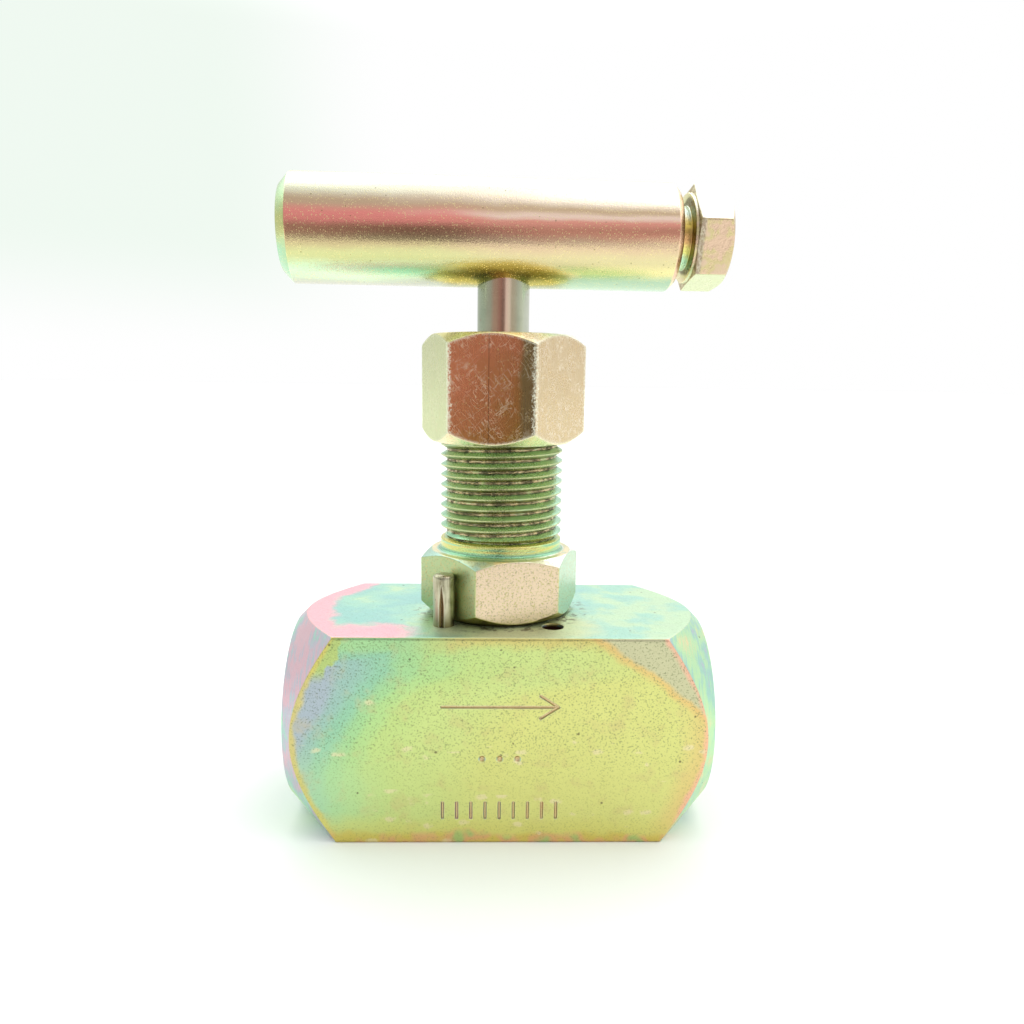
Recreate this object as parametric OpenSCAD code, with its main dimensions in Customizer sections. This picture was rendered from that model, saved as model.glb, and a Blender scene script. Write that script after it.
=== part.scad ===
// Bar-stock needle valve with a T-bar handle, in millimetres.
// Flow runs along X, the stem stands along +Z, and the front of the body faces -Y.
// The origin is the centre of the body's bottom face, on the stem axis. The valve is drawn closed.

/* [Body] */
// Width and height of the square bar
bar_w = 31.75; // [31:0.05:34]
// Length of the body along the flow
body_len = 64.3; // [63:0.1:72]
// Radius of the turned end faces
end_face_r = 14.4; // [13:0.1:15.5]
// Bore radius of the female pipe threads
port_r = 9.13; // [8.6:0.01:9.4]
// Depth of each pipe thread from the end face
port_depth = 19; // [17:0.1:19.5]
// Radius of the flow passages and of the seat orifice
passage_r = 2.4; // [1.8:0.1:2.4]

/* [Bonnet] */
// Across-flats size of both hexes
hex_af = 22.225; // [22:0.005:22.6]
// Height of the bonnet's hex
bonnet_hex_h = 9.7; // [8:0.1:9.9]
// Gap between the bonnet's hex and the body
bonnet_gap = 0.35; // [0.2:0.05:0.5]
// Turn of the bonnet's hex about the stem axis, in degrees
bonnet_hex_turn = 12.7; // [12:0.1:13]
// Outer radius of the threaded neck
neck_r = 9.525; // [9.5:0.005:9.6]
// Pitch of the neck thread
neck_pitch = 1.5875; // [1.5:0.0125:1.6]
// Height of the neck's top above the body's bottom face
neck_top_z = 69; // [68.5:0.1:69.2]

/* [Packing nut] */
// Height of the packing nut
nut_h = 16.3; // [16:0.1:16.5]
// Height of the nut's lower face above the body's bottom face
nut_z = 58.7; // [58.5:0.1:59]
// Turn of the nut about the stem axis, in degrees
nut_turn = -8.9; // [-30:0.1:30]

/* [Stem] */
// Radius of the stem
stem_r = 3.97; // [3.9:0.01:3.97]
// Outer radius of the stem's thread
stem_thread_r = 5.55; // [5.3:0.05:5.6]
// Pitch of the stem's thread
stem_pitch = 1.27; // [1:0.01:1.5]
// Lift of the stem from closed to the back seat
stem_lift = 5.715; // [4:0.005:5.715]

/* [Handle] */
// Radius of the handle bar
handle_r = 7.94; // [7.5:0.01:8.5]
// Height of the handle bar's axis above the body's bottom face
handle_z = 90; // [89.5:0.1:92]
// Reach of the bar from the stem to its plain end
handle_left = 32.75; // [25:0.1:45]
// Reach of the bar from the stem to its drilled end
handle_right = 25.8; // [25:0.1:26.5]
// Turn of the handle about the stem axis, in degrees
handle_turn = 3; // [-30:0.5:30]
// Across-flats size of the set bolt's head
bolt_af = 13.8; // [13.5:0.05:14.3]
// Turn of the set bolt's head about its own axis, in degrees
bolt_turn = 18; // [0:0.5:59.5]

/* [Lock pin] */
// Radius of the lock pin and its holes
pin_r = 1.5875; // [1.5:0.0125:1.5875]
// Distance of the pin holes from the stem axis
pin_hole_r = 12.82; // [12.8:0.01:12.9]
// Bearing of the lock pin from the front, in degrees
pin_bearing = -42; // [-43:0.5:-40]
// Bearing of the spare pin hole from the front, in degrees
spare_bearing = 37.5; // [36:0.5:45]
// Height of the pin above the body's top face
pin_proud = 7.9; // [6:0.1:9]

/* [Hidden] */
$fn = 96;
hex_sides = 6;

zinc = "khaki";
bare_steel = "lightslategray";
ptfe = "ivory";
soft_metal = "darkkhaki";

// Body levels
flow_z = bar_w / 2;
turned_slope = 1;       // the ends are turned at 45 degrees
corner_r = bar_w / 2 * sqrt(2);
port_mouth_r = port_r + 1.5;
inlet_z = 10;
outlet_z = 19;
seat_top_z = 16.5;
chamber_top_z = 21.5;
chamber_r = 6;
bonnet_bore_r = neck_r + 0.08;
bonnet_mouth_r = neck_r + 0.75;
seat_slope = tan(30);
seat_mouth_r = 3.3;
seat_root_z = seat_top_z - (seat_mouth_r - passage_r) / seat_slope;
port_floor_x = body_len / 2 - port_depth;
pin_hole_floor_z = bar_w - 8;
spare_hole_depth = 6;

// Bonnet levels
gasket_t = 1;
bonnet_nose_z = chamber_top_z + gasket_t;
bonnet_hex_z = bar_w + bonnet_gap;
bonnet_hex_top = bonnet_hex_z + bonnet_hex_h;
collar_h = 1.9;
relief_r = neck_r - 1.15;
thread_depth = 0.61;    // depth of a 60 degree thread, in pitches
thread_crest = 0.125;   // width of its flat crest, in pitches
stem_bore_r = stem_thread_r + 0.08;
guide_r = stem_r + 0.06;
packing_r = 6.35;
packing_floor_z = 53;

// Stem levels
skirt_z = 19.5;
skirt_r = 4.6;
thread_start_z = 29;
thread_end_z = 41;
back_seat_z = thread_end_z + stem_lift + 0.08;
stem_top_z = handle_z + 3.5;
swivel_r = 2.4;
swivel_gap = 0.06;
swivel_end_z = 24.8;
ball_r = 1.5875;
ball_gap = 0.02;
socket_top_z = swivel_end_z + 2 * (ball_r + ball_gap);
ring_z = 22.5;
ring_groove = 0.5;
ring_wire_r = 0.42;

// Packing levels
washer_t = 1;
ring_inner_r = stem_r + 0.03;
ring_outer_r = packing_r - 0.03;
ring_mid_r = (ring_inner_r + ring_outer_r) / 2;
vee = 0.8;
v_ring_t = 1.5;
adapter_t = 1.2;
v_ring_z = packing_floor_z + washer_t + adapter_t;
v_rings = 4;
gland_z = v_ring_z + v_rings * v_ring_t + vee + 1;
nut_shoulder_z = nut_z + nut_h - 3;
thrust_washer_t = 0.8;
gland_top_z = nut_shoulder_z - thrust_washer_t - 0.02;
gland_flange_t = 1;
gland_flange_r = neck_r - 1.2;

// Handle levels
bolt_r = 4.7;
bolt_hole_r = bolt_r + 0.06;
bolt_tip_x = 2.42;
washer_face_x = 27.6;
washer_face_t = 0.4;
bolt_head_h = 5.4;
stem_hole_r = stem_r + 0.03;

// Outline of one side of a 60 degree thread between z0 and z1, from its lower end to its upper end
function thread_outline(r, pitch, z0, z1) =
    let (
        turns = floor((z1 - z0) / pitch),
        root = r - thread_depth * pitch,
        crest = thread_crest / 2,
        foot = crest + thread_depth * tan(30)
    )
    [for (i = [0 : turns - 1], mid = z0 + (i + 0.5) * pitch) each [
        [root, mid - foot * pitch],
        [r, mid - crest * pitch],
        [r, mid + crest * pitch],
        [root, mid + foot * pitch]
    ]];

// A point at a bearing from the front, measured towards +X
function at_bearing(r, bearing) = [r * sin(bearing), -r * cos(bearing)];

// Hexagonal bar with a conical chamfer at each end, standing on z = 0
module chamfered_hex(af, h, top_deg, bottom_deg, top_r, bottom_r) {
    corner = af / 2 / cos(30);
    intersection() {
        cylinder(r = corner, h = h, $fn = hex_sides);
        rotate_extrude() polygon([
            [0, 0], [bottom_r, 0], [corner + 1, (corner + 1 - bottom_r) * tan(bottom_deg)],
            [corner + 1, h - (corner + 1 - top_r) * tan(top_deg)], [top_r, h], [0, h]
        ]);
    }
}

// Flat-bottomed round hole from z0 up to z1
module bore(r, z0, z1) {
    translate([0, 0, z0]) cylinder(r = r, h = z1 - z0);
}

// Horizontal hole along X at a height, from x0 to x1
module cross_bore(r, z, x0, x1) {
    translate([x0, 0, z]) rotate([0, 90, 0]) cylinder(r = r, h = x1 - x0);
}

// Ring with a rectangular section
module ring(inner, outer, z, t) {
    rotate_extrude() translate([inner, z]) square([outer - inner, t]);
}

// Square bar whose two ends are turned to a cone
module turned_bar() {
    half = body_len / 2;
    corner_x = half - (corner_r + 1 - end_face_r) / turned_slope;
    intersection() {
        translate([-half, -bar_w / 2, 0]) cube([body_len, bar_w, bar_w]);
        translate([0, 0, flow_z]) rotate([0, 90, 0]) rotate_extrude() polygon([
            [0, -half], [end_face_r, -half], [corner_r + 1, -corner_x],
            [corner_r + 1, corner_x], [end_face_r, half], [0, half]
        ]);
    }
}

// Pipe-thread port with a countersunk mouth, opening towards +X
module port() {
    half = body_len / 2;
    translate([0, 0, flow_z]) rotate([0, 90, 0]) rotate_extrude() polygon([
        [0, port_floor_x], [port_r, port_floor_x], [port_r, half - (port_mouth_r - port_r)],
        [port_mouth_r, half], [port_mouth_r, half + 1], [0, half + 1]
    ]);
}

// Seat orifice, valve chamber and the threaded bore for the bonnet
module stem_bore() {
    rotate_extrude() polygon([
        [0, inlet_z], [passage_r, inlet_z], [passage_r, seat_root_z], [seat_mouth_r, seat_top_z],
        [chamber_r, seat_top_z], [chamber_r, chamber_top_z], [bonnet_bore_r, chamber_top_z],
        [bonnet_bore_r, bar_w - 0.7], [bonnet_mouth_r, bar_w], [bonnet_mouth_r, bar_w + 1], [0, bar_w + 1]
    ]);
}

// Stamped flow arrow and tally marks on the front face
module stamps() {
    stamp_depth = 0.25;
    line_w = 0.5;
    arrow_half = 8.5;
    arrow_z = 21.3;
    tally_z = 5.2;
    dots_z = 13.3;
    barb = [2.6, 1.7];
    translate([0, stamp_depth - bar_w / 2, 0]) rotate([90, 0, 0]) linear_extrude(stamp_depth + 1) {
        translate([-arrow_half, arrow_z - line_w / 2]) square([2 * arrow_half - line_w, line_w]);
        for (side = [-1, 1]) translate([arrow_half, arrow_z]) rotate(180 + side * atan(barb.y / barb.x))
            translate([0, -line_w / 2]) square([norm(barb), line_w]);
        for (x = [-2.6, 0, 2.6]) translate([x, dots_z]) circle(r = 0.6, $fn = 32);
        for (i = [-4 : 4]) translate([2.1 * i - line_w / 2, tally_z - 1.2]) square([line_w, 2.4]);
    }
}

module body() {
    color(zinc) difference() {
        turned_bar();
        for (side = [0, 180]) rotate([0, 0, side]) port();
        stem_bore();
        cross_bore(passage_r, inlet_z, -port_floor_x - 1, passage_r);
        cross_bore(passage_r, outlet_z, 0, port_floor_x + 1);
        translate(at_bearing(pin_hole_r, pin_bearing)) bore(pin_r + 0.01, pin_hole_floor_z, bar_w + 1);
        translate(at_bearing(pin_hole_r, spare_bearing)) bore(pin_r, bar_w - spare_hole_depth, bar_w + 1);
        stamps();
    }
}

// Threaded shank below the hex, hex, collar and threaded neck
module bonnet_outside() {
    shank_z = bonnet_hex_z - 1.6;
    collar_top = bonnet_hex_top + collar_h;
    rotate_extrude() polygon(concat(
        [[0, bonnet_nose_z], [relief_r, bonnet_nose_z]],
        thread_outline(neck_r, neck_pitch, bonnet_nose_z, shank_z),
        [[relief_r, shank_z], [relief_r, bonnet_hex_z + 1], [neck_r, bonnet_hex_z + 1], [neck_r, collar_top]],
        thread_outline(neck_r, neck_pitch, collar_top + 0.3, neck_top_z - 0.4),
        [[relief_r, neck_top_z - 0.4], [relief_r, neck_top_z], [0, neck_top_z]]
    ));
    translate([0, 0, bonnet_hex_z]) rotate([0, 0, bonnet_hex_turn])
        chamfered_hex(hex_af, bonnet_hex_h, 32, 40, 10.95, 10.9);
}

module bonnet() {
    color(zinc) difference() {
        bonnet_outside();
        rotate_extrude() polygon([
            [0, bonnet_nose_z - 1], [stem_bore_r, bonnet_nose_z - 1], [stem_bore_r, back_seat_z],
            [guide_r, back_seat_z + stem_bore_r - guide_r], [guide_r, packing_floor_z],
            [packing_r, packing_floor_z], [packing_r, neck_top_z - 0.5], [packing_r + 0.5, neck_top_z],
            [packing_r + 0.5, neck_top_z + 1], [0, neck_top_z + 1]
        ]);
    }
}

module bonnet_gasket() {
    color(soft_metal) ring(chamber_r + 0.2, bonnet_bore_r - 0.3, chamber_top_z, gasket_t);
}

// Grooved pin: a straight pin with three tapering grooves pressed into it
module lock_pin() {
    chamfer = 0.35;
    top_z = bar_w + pin_proud;
    groove_top = top_z - 1.1;
    groove_run = 4.6;
    color(bare_steel) translate(at_bearing(pin_hole_r, pin_bearing)) difference() {
        rotate_extrude($fn = 48) polygon([
            [0, pin_hole_floor_z], [pin_r - chamfer, pin_hole_floor_z], [pin_r, pin_hole_floor_z + chamfer],
            [pin_r, top_z - chamfer], [pin_r - chamfer, top_z], [0, top_z]
        ]);
        for (i = [0 : 2]) rotate([0, 0, 120 * i - 100]) hull() {
            translate([pin_r, 0, groove_top]) sphere(r = 0.05, $fn = 16);
            translate([pin_r + 0.1, 0, groove_top - groove_run]) sphere(r = 0.4, $fn = 16);
            translate([pin_r + 0.1, 0, pin_hole_floor_z - 1]) sphere(r = 0.4, $fn = 16);
        }
    }
}

module stem() {
    flat_x = bolt_tip_x - 0.02;
    color(bare_steel) difference() {
        rotate_extrude() polygon(concat(
            [[0, skirt_z], [skirt_r - 0.4, skirt_z], [skirt_r, skirt_z + 0.4], [skirt_r, thread_start_z]],
            thread_outline(stem_thread_r, stem_pitch, thread_start_z, thread_end_z - 0.3),
            [[skirt_r, thread_end_z - 0.3], [skirt_r, thread_end_z], [stem_thread_r, thread_end_z],
                [stem_r, thread_end_z + stem_thread_r - stem_r],
                [stem_r, stem_top_z - 0.6], [stem_r - 0.6, stem_top_z], [0, stem_top_z]]
        ));
        bore(swivel_r + swivel_gap, skirt_z - 1, socket_top_z);
        bore(swivel_r + 0.65, ring_z - ring_groove, ring_z + ring_groove);
        rotate([0, 0, handle_turn]) translate([flat_x, -5, handle_z - 5]) cube([5, 10, 20]);
    }
}

// Needle that swivels in the stem's skirt and stays still on the seat
module needle_tip() {
    seat_gap = 0.03;
    collar_r = seat_mouth_r + 0.1;
    cone_top = seat_top_z + (collar_r - seat_mouth_r) / seat_slope + seat_gap;
    nose_r = 0.5;
    nose_z = cone_top - (collar_r - nose_r) / seat_slope;
    groove_r = swivel_r - ring_groove;
    shank_z = skirt_z - 0.1;
    color(bare_steel) rotate_extrude() polygon([
        [0, nose_z - 0.2], [nose_r, nose_z], [collar_r, cone_top], [collar_r, shank_z], [swivel_r, shank_z],
        [swivel_r, ring_z - ring_groove], [groove_r, ring_z - ring_groove],
        [groove_r, ring_z + ring_groove], [swivel_r, ring_z + ring_groove],
        [swivel_r, swivel_end_z - 0.4], [swivel_r - 0.4, swivel_end_z], [0, swivel_end_z]
    ]);
}

// Split wire ring that holds the needle in the stem
module needle_retaining_ring() {
    bend_r = swivel_r - ring_groove + ring_wire_r + 0.04;
    split = 1.2;
    color(bare_steel) difference() {
        translate([0, 0, ring_z]) rotate_extrude() translate([bend_r, 0]) circle(r = ring_wire_r, $fn = 32);
        translate([0, -split / 2, ring_z - 1]) cube([5, split, 2]);
    }
}

// Ball that carries the thrust between the stem and the needle
module thrust_ball() {
    color(bare_steel) translate([0, 0, swivel_end_z + ball_gap + ball_r]) sphere(r = ball_r);
}

module packing_base_washer() {
    color(soft_metal) ring(ring_inner_r + 0.02, ring_outer_r, packing_floor_z, washer_t);
}

module packing_bottom_adapter() {
    z = packing_floor_z + washer_t;
    color(soft_metal) rotate_extrude() polygon([
        [ring_inner_r, z], [ring_outer_r, z], [ring_outer_r, z + adapter_t],
        [ring_mid_r, z + adapter_t + vee], [ring_inner_r, z + adapter_t]
    ]);
}

// One chevron ring of the packing, counted from the bottom
module packing_v_ring(i) {
    z = v_ring_z + (i - 1) * v_ring_t;
    color(ptfe) rotate_extrude() polygon([
        [ring_inner_r, z], [ring_mid_r, z + vee], [ring_outer_r, z], [ring_outer_r, z + v_ring_t],
        [ring_mid_r, z + vee + v_ring_t], [ring_inner_r, z + v_ring_t]
    ]);
}

module packing_top_adapter() {
    z = v_ring_z + v_rings * v_ring_t;
    color(soft_metal) rotate_extrude() polygon([
        [ring_inner_r, z], [ring_mid_r, z + vee], [ring_outer_r, z],
        [ring_outer_r, gland_z], [ring_inner_r, gland_z]
    ]);
}

module gland_follower() {
    sleeve_r = packing_r - 0.07;
    flange_z = gland_top_z - gland_flange_t;
    color(bare_steel) rotate_extrude() polygon([
        [guide_r, gland_z], [sleeve_r, gland_z], [sleeve_r, flange_z],
        [gland_flange_r, flange_z], [gland_flange_r, gland_top_z], [guide_r, gland_top_z]
    ]);
}

module gland_thrust_washer() {
    color(soft_metal) ring(guide_r + 0.05, gland_flange_r, gland_top_z, thrust_washer_t);
}

module packing_nut() {
    color(zinc) difference() {
        translate([0, 0, nut_z]) rotate([0, 0, nut_turn])
            chamfered_hex(hex_af, nut_h, 40, 43, 10.85, 10.8);
        rotate_extrude() polygon([
            [0, nut_z - 1], [neck_r + 0.75, nut_z - 1], [neck_r + 0.75, nut_z], [neck_r + 0.08, nut_z + 0.67],
            [neck_r + 0.08, nut_shoulder_z], [stem_r + 0.2, nut_shoulder_z],
            [stem_r + 0.2, nut_z + nut_h - 0.4],
            [stem_r + 0.6, nut_z + nut_h], [stem_r + 0.6, nut_z + nut_h + 1], [0, nut_z + nut_h + 1]
        ]);
    }
}

// Places a part that is turned about Z onto the handle's axis, so that its Z runs along the bar
module on_handle_axis() {
    translate([0, 0, handle_z]) rotate([0, 0, handle_turn]) rotate([0, 90, 0]) children();
}

module handle_bar() {
    left_run = 1.5;
    left_cut = 1.65;
    right_run = 0.9;
    right_cut = 0.85;
    color(zinc) difference() {
        on_handle_axis() rotate_extrude() polygon([
            [0, -handle_left], [handle_r - left_cut, -handle_left], [handle_r, left_run - handle_left],
            [handle_r, handle_right - right_run], [handle_r - right_cut, handle_right], [0, handle_right]
        ]);
        bore(stem_hole_r, handle_z - handle_r - 1, stem_top_z + 0.5);
        on_handle_axis() rotate_extrude() polygon([
            [0, 0], [bolt_hole_r, 0], [bolt_hole_r, handle_right - 0.6], [bolt_hole_r + 0.6, handle_right],
            [bolt_hole_r + 0.6, handle_right + 1], [0, handle_right + 1]
        ]);
    }
}

// Hex-head bolt whose tip bears on the flat of the stem
module handle_set_bolt() {
    plain_x = handle_right - 3;
    head_x = washer_face_x + washer_face_t;
    washer_face_r = bolt_af / 2 * 0.96;
    color(zinc) on_handle_axis() {
        rotate_extrude() polygon(concat(
            [[0, bolt_tip_x], [bolt_r - 1.1, bolt_tip_x], [bolt_r - 1.1, bolt_tip_x + 0.4]],
            thread_outline(bolt_r, neck_pitch, bolt_tip_x + 0.8, plain_x),
            [[bolt_r, plain_x], [bolt_r, washer_face_x], [washer_face_r, washer_face_x],
                [washer_face_r, head_x + 1], [0, head_x + 1]]
        ));
        translate([0, 0, head_x]) rotate([0, 0, bolt_turn])
            chamfered_hex(bolt_af, bolt_head_h, 30, 89, 6.7, bolt_af / 2 / cos(30) - 0.02);
    }
}

body();
bonnet();
bonnet_gasket();
lock_pin();
stem();
needle_tip();
needle_retaining_ring();
thrust_ball();
packing_base_washer();
packing_bottom_adapter();
packing_v_ring(1);  // packing_v_ring_1
packing_v_ring(2);  // packing_v_ring_2
packing_v_ring(3);  // packing_v_ring_3
packing_v_ring(4);  // packing_v_ring_4
packing_top_adapter();
gland_follower();
gland_thrust_washer();
packing_nut();
handle_bar();
handle_set_bolt();
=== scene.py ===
from math import atan2, ceil, cos, hypot, pi, radians, sin, sqrt, tan

import bmesh
import bpy
from mathutils import Matrix, Vector


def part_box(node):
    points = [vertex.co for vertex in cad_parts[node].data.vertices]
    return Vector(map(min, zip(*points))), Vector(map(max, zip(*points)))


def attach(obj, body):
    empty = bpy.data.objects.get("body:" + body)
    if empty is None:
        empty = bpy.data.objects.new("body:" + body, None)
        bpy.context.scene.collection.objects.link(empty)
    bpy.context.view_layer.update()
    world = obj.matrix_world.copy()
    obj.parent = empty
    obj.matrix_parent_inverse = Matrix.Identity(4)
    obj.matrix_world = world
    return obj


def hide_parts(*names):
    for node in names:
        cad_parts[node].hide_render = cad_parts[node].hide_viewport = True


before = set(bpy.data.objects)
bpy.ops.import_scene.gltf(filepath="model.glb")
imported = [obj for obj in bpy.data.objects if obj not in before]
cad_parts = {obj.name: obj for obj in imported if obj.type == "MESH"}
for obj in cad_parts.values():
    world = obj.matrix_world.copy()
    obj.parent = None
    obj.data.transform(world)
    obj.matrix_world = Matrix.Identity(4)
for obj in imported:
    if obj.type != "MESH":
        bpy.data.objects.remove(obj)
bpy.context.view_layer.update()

# Lengths are in millimetres in the CAD frame, and each mesh is scaled to metres when it is made.
MM = 0.001
TAU = 2 * pi
WELD_STEPS = 70001      # points closer than about 1 / WELD_STEPS mm are one point
THREAD_DEPTH = 0.61     # depth of a 60 degree thread, in pitches
scene = bpy.context.scene


def placed(name, data):
    """A new object in the scene."""
    made = bpy.data.objects.new(name, data)
    scene.collection.objects.link(made)
    return made


def meshed(name, work):
    """The mesh of a shape that bmesh has built."""
    mesh = bpy.data.meshes.new(name)
    work.to_mesh(mesh)
    work.free()
    return mesh


def span(node):
    """Lowest and highest corner of a CAD node, in millimetres."""
    low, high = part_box(node)
    return low / MM, high / MM


# ---- camera

CAMERA_PLACE = Vector((-1.855, -130.355, 68.729))
CAMERA_DOWN = radians(9.249)
CAMERA_RIGHT = radians(1.58)
CAMERA_ROLL = radians(0.786)
CAMERA_LENS = 29.19


def make_camera():
    """The camera stands close in front of the valve, at the height of the packing nut."""
    data = bpy.data.cameras.new("camera")
    data.lens = CAMERA_LENS
    data.sensor_width = 36
    data.clip_start = 0.005
    data.clip_end = 20
    camera = placed("camera", data)
    turn = Matrix.Rotation(-CAMERA_RIGHT, 4, "Z")
    tip = Matrix.Rotation(pi / 2 - CAMERA_DOWN, 4, "X")
    roll = Matrix.Rotation(CAMERA_ROLL, 4, "Z")
    camera.matrix_world = Matrix.Translation(CAMERA_PLACE * MM) @ turn @ tip @ roll
    scene.camera = camera


# ---- turned and milled shapes
# A shape is a list of rows along an axis. A row gives (radius, height) at each angle, so round,
# square, hexagonal and threaded stretches all join into one closed skin.


def ring(radius, height):
    """A round row."""
    return lambda angle: (radius, height)


def polygon_radius(angle, sides, flat_r, corner_r, turn):
    """Radius of a polygon with rounded corners. flat_r is centre to flat, turn is a corner's angle."""
    half = pi / sides
    from_corner = abs((angle - turn + half) % (2 * half) - half)
    arc_centre = (flat_r - corner_r) / cos(half)
    if half - from_corner <= atan2(arc_centre * sin(half), flat_r):
        return flat_r / cos(half - from_corner)
    across = arc_centre * sin(from_corner)
    return arc_centre * cos(from_corner) + sqrt(corner_r ** 2 - across ** 2)


def softened(rows, size, steps=3):
    """Rounds every inner corner of a profile, keeping size mm clear of each side of it."""
    soft = [rows[0]]
    for before, corner, after in zip(rows, rows[1:], rows[2:]):
        soft += [bent(before, corner, after, size, step / steps) for step in range(steps + 1)]
    return soft + [rows[-1]]


def bent(before, corner, after, size, along):
    """The row a share of the way round a rounded corner."""
    def row(angle):
        here = Vector(corner(angle))
        back = Vector(before(angle)) - here
        ahead = Vector(after(angle)) - here
        start = here + back.normalized() * min(size, back.length * 0.45)
        end = here + ahead.normalized() * min(size, ahead.length * 0.45)
        return tuple(start.lerp(here, along).lerp(here.lerp(end, along), along))
    return row


def thread_rows(root, crest, pitch, low, high, fade):
    """Rows of a right-hand 60 degree thread. Its height grows from 0 over the length fade at each end.
    root and crest are radii, each a number or a function of the height."""
    crest_half, foot = 0.0625, 0.0625 + THREAD_DEPTH * tan(radians(30))
    profile = ((0.5 - foot, 0), (0.5 - crest_half, 1), (0.5 + crest_half, 1), (0.5 + foot, 0))
    at = lambda size, height: size(height) if callable(size) else size

    def helix(start, lift):
        def row(angle):
            height = min(max(start + pitch * angle / TAU, low), high)
            grown = max(0, min(1, (height - low) / fade, (high - height) / fade))
            foot_r = at(root, height)
            return foot_r + (at(crest, height) - foot_r) * lift * grown, height
        return row

    turns = ceil((high - low) / pitch) + 1
    rows = [ring(at(root, low), low)]
    for turn in range(-1, turns):
        rows += [helix(low + (turn + share) * pitch, lift) for share, lift in profile]
    return rows + [ring(at(root, high), high)]


def even_angles(count, corners=(), width=0.0):
    """Angles of the columns: evenly spaced, with more of them close to each corner."""
    angles = {round(TAU * i / count, 6) for i in range(count)}
    for corner in corners:
        angles |= {round((corner + width * step / 3) % TAU, 6) for step in range(-3, 4)}
    return sorted(angles - {round(TAU, 6)}) + [TAU]


def skin(rows, angles, place):
    """A mesh through the rows. Points that coincide are welded, so closed ends and threads join up."""
    points, faces, known = [], [], {}

    def vertex(row, angle):
        radius, height = row(angle)
        point = (radius * cos(angle), radius * sin(angle), height)
        key = tuple(round(c * WELD_STEPS) for c in point)
        if key not in known:
            known[key] = len(points)
            points.append(place @ Vector(point) * MM)
        return known[key]

    grid = [[vertex(row, angle) for angle in angles] for row in rows]
    for low, high in zip(grid, grid[1:]):
        for i in range(len(angles) - 1):
            face = list(dict.fromkeys((low[i], low[i + 1], high[i + 1], high[i])))
            if len(face) > 2:
                faces.append(face)
    mesh = bpy.data.meshes.new("skin")
    mesh.from_pydata(points, [], faces)
    return mesh


def add(name, mesh):
    """Puts a mesh in the scene with its faces pointing outwards."""
    work = bmesh.new()
    work.from_mesh(mesh)
    bmesh.ops.recalc_face_normals(work, faces=work.faces)
    work.to_mesh(mesh)
    work.free()
    mesh.name = name
    return placed(name, mesh)


def turned(name, rows, angles, place=Matrix.Identity(4)):
    """A new object of that shape, whose axis is place's Z."""
    return add(name, skin(rows, angles, place))


def cut(piece, cutters):
    """Takes the cutters out of the piece and deletes them."""
    for cutter in cutters:
        step = piece.modifiers.new("cut", "BOOLEAN")
        step.operation = "DIFFERENCE"
        step.solver = "MANIFOLD"
        step.object = cutter
    done = bpy.data.meshes.new_from_object(piece.evaluated_get(bpy.context.evaluated_depsgraph_get()))
    piece.modifiers.clear()
    piece.data = done
    for cutter in cutters:
        bpy.data.objects.remove(cutter)


def finish_piece(piece, body, node, material, sharp=35):
    """Shades a piece smoothly up to its sharp edges, and lets it stand for its CAD node."""
    mesh = piece.data
    mesh.materials.clear()
    mesh.materials.append(material)
    work = bmesh.new()
    work.from_mesh(mesh)
    bmesh.ops.dissolve_degenerate(work, dist=1e-7, edges=work.edges)
    for face in work.faces:
        face.smooth = True
        face.material_index = 0
    for edge in work.edges:
        edge.smooth = len(edge.link_faces) == 2 and edge.calc_face_angle(0) < radians(sharp)
    work.to_mesh(mesh)
    work.free()
    weighted = piece.modifiers.new("flat faces stay flat", "WEIGHTED_NORMAL")
    weighted.keep_sharp = True
    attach(piece, body)
    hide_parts(node)


def along_x(height):
    """Puts a shape's axis along +X at a height."""
    return Matrix.Translation((0, 0, height)) @ Matrix.Rotation(pi / 2, 4, "Y")


def upright(x, y):
    """Puts a shape's axis upright at a place."""
    return Matrix.Translation((x, y, 0))


def plug(radius, low, high, place, mouth=0.0, sides=96):
    """A cutter for a round hole whose mouth, at high, is chamfered by mouth mm."""
    rows = [ring(0, low), ring(radius, low), ring(radius, high - mouth), ring(radius + mouth, high)]
    rows += [ring(radius + mouth, high + 3), ring(0, high + 3)]
    return turned("cutter", rows, even_angles(sides), place)


def rod(radius, low, high, place=Matrix.Identity(4), sides=64):
    """A cutter for a plain round hole between two heights."""
    rows = [ring(0, low), ring(radius, low), ring(radius, high), ring(0, high)]
    return turned("cutter", rows, even_angles(sides), place)


def hex_outline(across_flats, corner_r, turn):
    """The radius of a hexagonal bar at each angle, and the angles of its corners."""
    outline = lambda angle: polygon_radius(angle, 6, across_flats / 2, corner_r, turn)
    return outline, [turn + i * pi / 3 for i in range(6)]


def prism_ends(flat_radius, low, high, face_low, face_high, slope_low, slope_high):
    """The profile of a bar whose ends are turned to a cone, from the rim of its lower face to that of
    its upper one. flat_radius is the bar's outline, and a slope is a cone's rise per mm of radius."""
    return [
        ring(face_low, low),
        lambda a: (flat_radius(a), low + (flat_radius(a) - face_low) * slope_low),
        lambda a: (flat_radius(a), high - (flat_radius(a) - face_high) * slope_high),
        ring(face_high, high),
    ]


# ---- sizes, from the frame where it has them

body_low, body_high = span("body")
bar_w = body_high.z - body_low.z
flow_z = bar_w / 2
half_len = body_high.x
end_face_r = 14.4
port_r, port_pitch = 9.13, 1.814
port_mouth_r = port_r + 1.5
port_floor_x = half_len - 19
passage_r = 2.4
inlet_z, outlet_z = 10, 19
chamber_r, chamber_floor_z, gasket_z = 6, 16.5, span("bonnet_gasket")[0].z

pin_low, pin_high = span("lock_pin")
pin_r = 1.5875
pin_place = ((pin_low.x + pin_high.x) / 2, (pin_low.y + pin_high.y) / 2)
pin_reach, spare_bearing = hypot(*pin_place), radians(37.5)
spare_place = (pin_reach * sin(spare_bearing), -pin_reach * cos(spare_bearing))

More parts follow.
